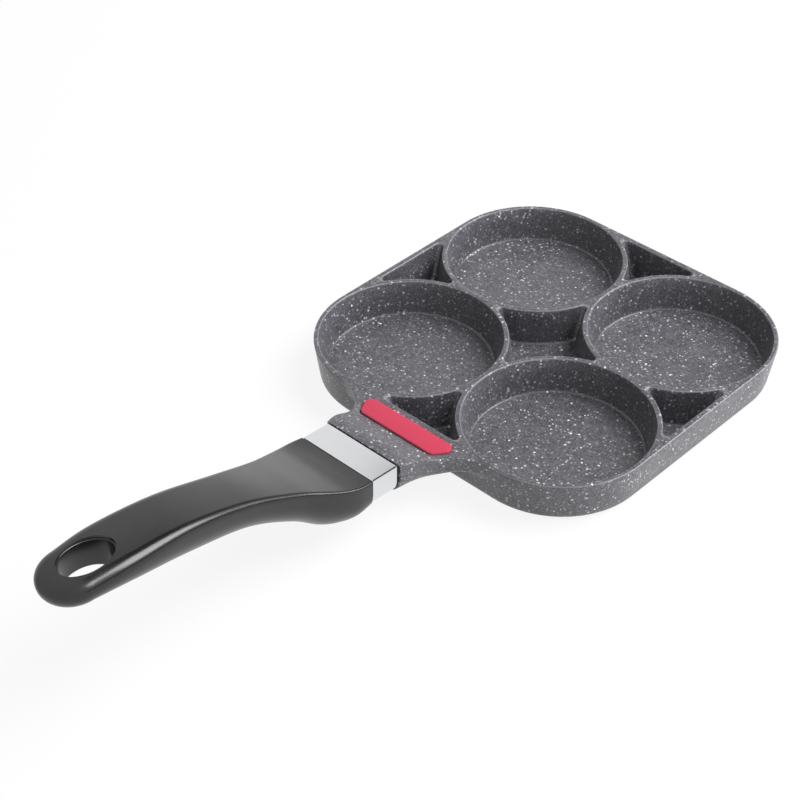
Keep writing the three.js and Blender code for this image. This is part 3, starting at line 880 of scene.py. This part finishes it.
def hangHoleTool():
    bm = bmesh.new()
    lip, foot, waist, deep = hang["lip"], hang["foot"], hang["waist"], hang["deep"]
    # share of the full oval, growth, height from the top: the waist is the parting line of the mould
    levels = [
        (waist, foot, -deep - hang["clear"]), (waist, foot, -deep),
        (waist, 0, foot - deep), (waist, 0, -hang["waistDown"])]
    levels += [(1, lip + grow, z) for grow, z in arcPoints((0, -lip), lip, 180, 90, hang["lipSteps"])]
    levels.append((1, lip, hang["clear"]))
    # half a step on, so that no point lies on the grip's own middle line
    turns = [math.tau * (i + 0.5) / hang["steps"] for i in range(hang["steps"])]
    sections = []
    for share, grow, z in levels:
        wide, long = hang["width"] / 2 * share + grow, hang["length"] / 2 * share + grow
        sections.append([(wide * math.cos(t), long * math.sin(t), z) for t in turns])
    addSolid(bm, sections)
    centre = (0, gripTip + hang["web"] + hang["length"] / 2, gripTop + hang["rise"])
    place = Matrix.Translation(centre) @ Matrix.Rotation(math.radians(hang["tilt"]), 4, "X")
    bmesh.ops.transform(bm, matrix=place, verts=bm.verts)
    closeUp(bm)
    return bm


fastening = dict(
    pocket=5.3 * mm,
    seat=8.3 * mm,
    deep=26 * mm,
    plug=5 * mm,
    plugTop=13.87 * mm,
    plugThickness=2 * mm,
    plugEdge=0.4 * mm,
)
handle = makeGrip()
combine(handle, hangHoleTool(), "DIFFERENCE")
socketMesh = bmesh.new()
addTang(socketMesh, arm["gap"])
combine(handle, socketMesh, "DIFFERENCE")
pocketMesh = bmesh.new()
addRod(pocketMesh, screwPlace, fastening["pocket"], -fastening["deep"], -fastening["seat"])
combine(handle, pocketMesh, "DIFFERENCE")
finishPiece(handle, bakelite, "bakelite", "handle", sharpAngle=30)

plugMesh = bmesh.new()
plugLow = -fastening["plugTop"] - fastening["plugThickness"]
addRod(plugMesh, screwPlace, fastening["plug"], plugLow, -fastening["plugTop"])
plugRims = [e for e in plugMesh.edges if e.calc_face_angle() > sharpTurn]
bmesh.ops.bevel(
    plugMesh, geom=plugRims, offset=fastening["plugEdge"], segments=3, profile=0.5, affect="EDGES",
    material=-1)
closeUp(plugMesh)
finishPiece(newObject("pocket_plug", plugMesh), blackRubber, "black_rubber", "screw_plug")

for nodeName in ("handle_screw", "flat_washer", "spring_washer"):  # hidden, so the CAD meshes stay
    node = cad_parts[nodeName]
    node.data.materials.clear()
    node.data.materials.append(zincSteel)


# Floor, backdrop and light

studioFloor = dict(
    half=6,  # metres, as are the distances below
    bounceTone="#b8b8b8",  # what it throws back on the object
    seenTone="#f4f4f4",
    roughness=0.9,
    whiteShare=0.88,  # near the object; the rest takes the shadow
    whiteFrom=0.5,
    whiteFull=1.8,
)


def seenRays(tree):  # 1 for what the camera or a reflection sees, 0 for what lights the object
    path = addNode(tree, "ShaderNodeLightPath", {})
    return addNode(tree, "ShaderNodeMath", {"operation": "MAXIMUM"}, [
        (0, path.outputs["Is Camera Ray"]), (1, path.outputs["Is Glossy Ray"])]).outputs["Value"]


def makeFloor():
    bm = bmesh.new()
    bmesh.ops.create_grid(bm, x_segments=1, y_segments=1, size=studioFloor["half"])
    floor = newObject("floor", bm)
    material, tree, shader = newMaterial("pale studio floor")
    shader.inputs["Roughness"].default_value = studioFloor["roughness"]
    # the camera and the metal see mostly plain white with a part of the shadow, and pure white further out
    seen = seenRays(tree)
    bounceTone, seenTone = linear(studioFloor["bounceTone"]), linear(studioFloor["seenTone"])
    tone = addNode(
        tree, "ShaderNodeMix", {"data_type": "RGBA", 6: bounceTone, 7: seenTone}, [("Factor", seen)])
    tree.links.new(tone.outputs[2], shader.inputs["Base Color"])
    place = addNode(tree, "ShaderNodeTexCoord", {}).outputs["Object"]
    away = addNode(tree, "ShaderNodeVectorMath", {"operation": "LENGTH"}, [("Vector", place)])
    pale = addNode(
        tree, "ShaderNodeMapRange", {
            "interpolation_type": "SMOOTHSTEP",
            "From Min": studioFloor["whiteFrom"], "From Max": studioFloor["whiteFull"],
            "To Min": studioFloor["whiteShare"], "To Max": 1}, [("Value", away.outputs["Value"])])
    share = addNode(tree, "ShaderNodeMath", {"operation": "MULTIPLY"}, [
        (0, seen), (1, pale.outputs["Result"])])
    white = addNode(tree, "ShaderNodeEmission", {"Color": (1, 1, 1, 1), "Strength": 1.0})
    mix = addNode(tree, "ShaderNodeMixShader", {}, [
        (0, share.outputs["Value"]), (1, shader.outputs["BSDF"]), (2, white.outputs["Emission"])])
    tree.links.new(mix.outputs["Shader"], tree.nodes["Material Output"].inputs["Surface"])
    floor.data.materials.append(material)


def makeWorld(diffuseStrength):  # white to the camera and in reflections, a soft light on the object
    world = bpy.data.worlds.new("studio")
    world.use_nodes = True
    tree = world.node_tree
    back = tree.nodes["Background"]
    back.inputs["Color"].default_value = (1, 1, 1, 1)
    strength = addNode(
        tree, "ShaderNodeMapRange", {"To Min": diffuseStrength, "To Max": 1}, [("Value", seenRays(tree))])
    tree.links.new(strength.outputs["Result"], back.inputs["Strength"])
    bpy.context.scene.world = world


def addLamp(name, location, target, width, height, power):
    data = bpy.data.lights.new(name, "AREA")
    data.shape = "RECTANGLE"
    data.size = width
    data.size_y = height
    data.energy = power
    lamp = bpy.data.objects.new(name, data)
    lamp.location = location
    lamp.rotation_euler = (Vector(target) - Vector(location)).to_track_quat("-Z", "Y").to_euler()
    lamp.visible_glossy = False
    bpy.context.scene.collection.objects.link(lamp)
    return lamp


def addShine(name, piece, location, target, width, height, power):  # shows only as a shine on one piece
    lamp = addLamp(name, location, target, width, height, power)
    lamp.visible_glossy = True
    lamp.visible_diffuse = False
    lit = bpy.data.collections.new(name)
    lit.objects.link(piece)
    lamp.light_linking.receiver_collection = lit


def addFlag(name, location, target, width, height):  # dark card that shows only in reflections
    bm = bmesh.new()
    bmesh.ops.create_grid(bm, x_segments=1, y_segments=1, size=0.5)
    bmesh.ops.scale(bm, vec=(width, height, 1), verts=bm.verts)
    facing = (Vector(target) - Vector(location)).to_track_quat("-Z", "Y").to_matrix().to_4x4()
    bmesh.ops.transform(bm, matrix=Matrix.Translation(location) @ facing, verts=bm.verts)
    flag = newObject(name, bm)
    material, _, shader = newMaterial(name + " black felt")
    shader.inputs["Base Color"].default_value = linear("#0a0a0a")
    shader.inputs["Roughness"].default_value = 1
    flag.data.materials.append(material)
    flag.visible_camera = False
    flag.visible_diffuse = False
    flag.visible_shadow = False


makeFloor()
makeWorld(diffuseStrength=0.28)
addLamp(
    "key", location=(0.466, 0.667, 1.019), target=(0, -0.05, 0), width=1, height=1, power=29)
addLamp(
    "low fill", location=(1.25, 0, 0.09), target=(0.1, 0, 0.012), width=1.4, height=0.14, power=11)
addShine(
    "fillet shine", tray, location=(0.42, 0.72, 0.98), target=(0, 0, 0), width=0.6, height=0.6, power=8)
addShine(
    "edge shine", handle, location=(0.71, 0.44, 0.94), target=(0.01, -0.26, 0.05), width=0.85, height=0.85,
    power=22)
addShine(
    "rear shine", handle, location=(-0.75, 0.9, 0.12), target=(0, -0.2, 0.05), width=1.2, height=0.2,
    power=0.7)
addFlag("gap flag", location=(-0.17, 0.74, 0.85), target=(0, -0.245, 0.06), width=0.46, height=0.75)
addFlag("top flag", location=(0, 0.6, 1.28), target=(0, -0.25, 0.05), width=1.7, height=0.85)
addFlag("back flag", location=(0.3, 1.6, 0.5), target=(0, -0.15, 0.05), width=0.9, height=0.45)
addFlag("side flag", location=(1.05, 0.45, 0.24), target=(0, -0.15, 0.05), width=1.6, height=0.3)
bpy.context.scene.view_settings.view_transform = "Standard"
print("stage and light done")
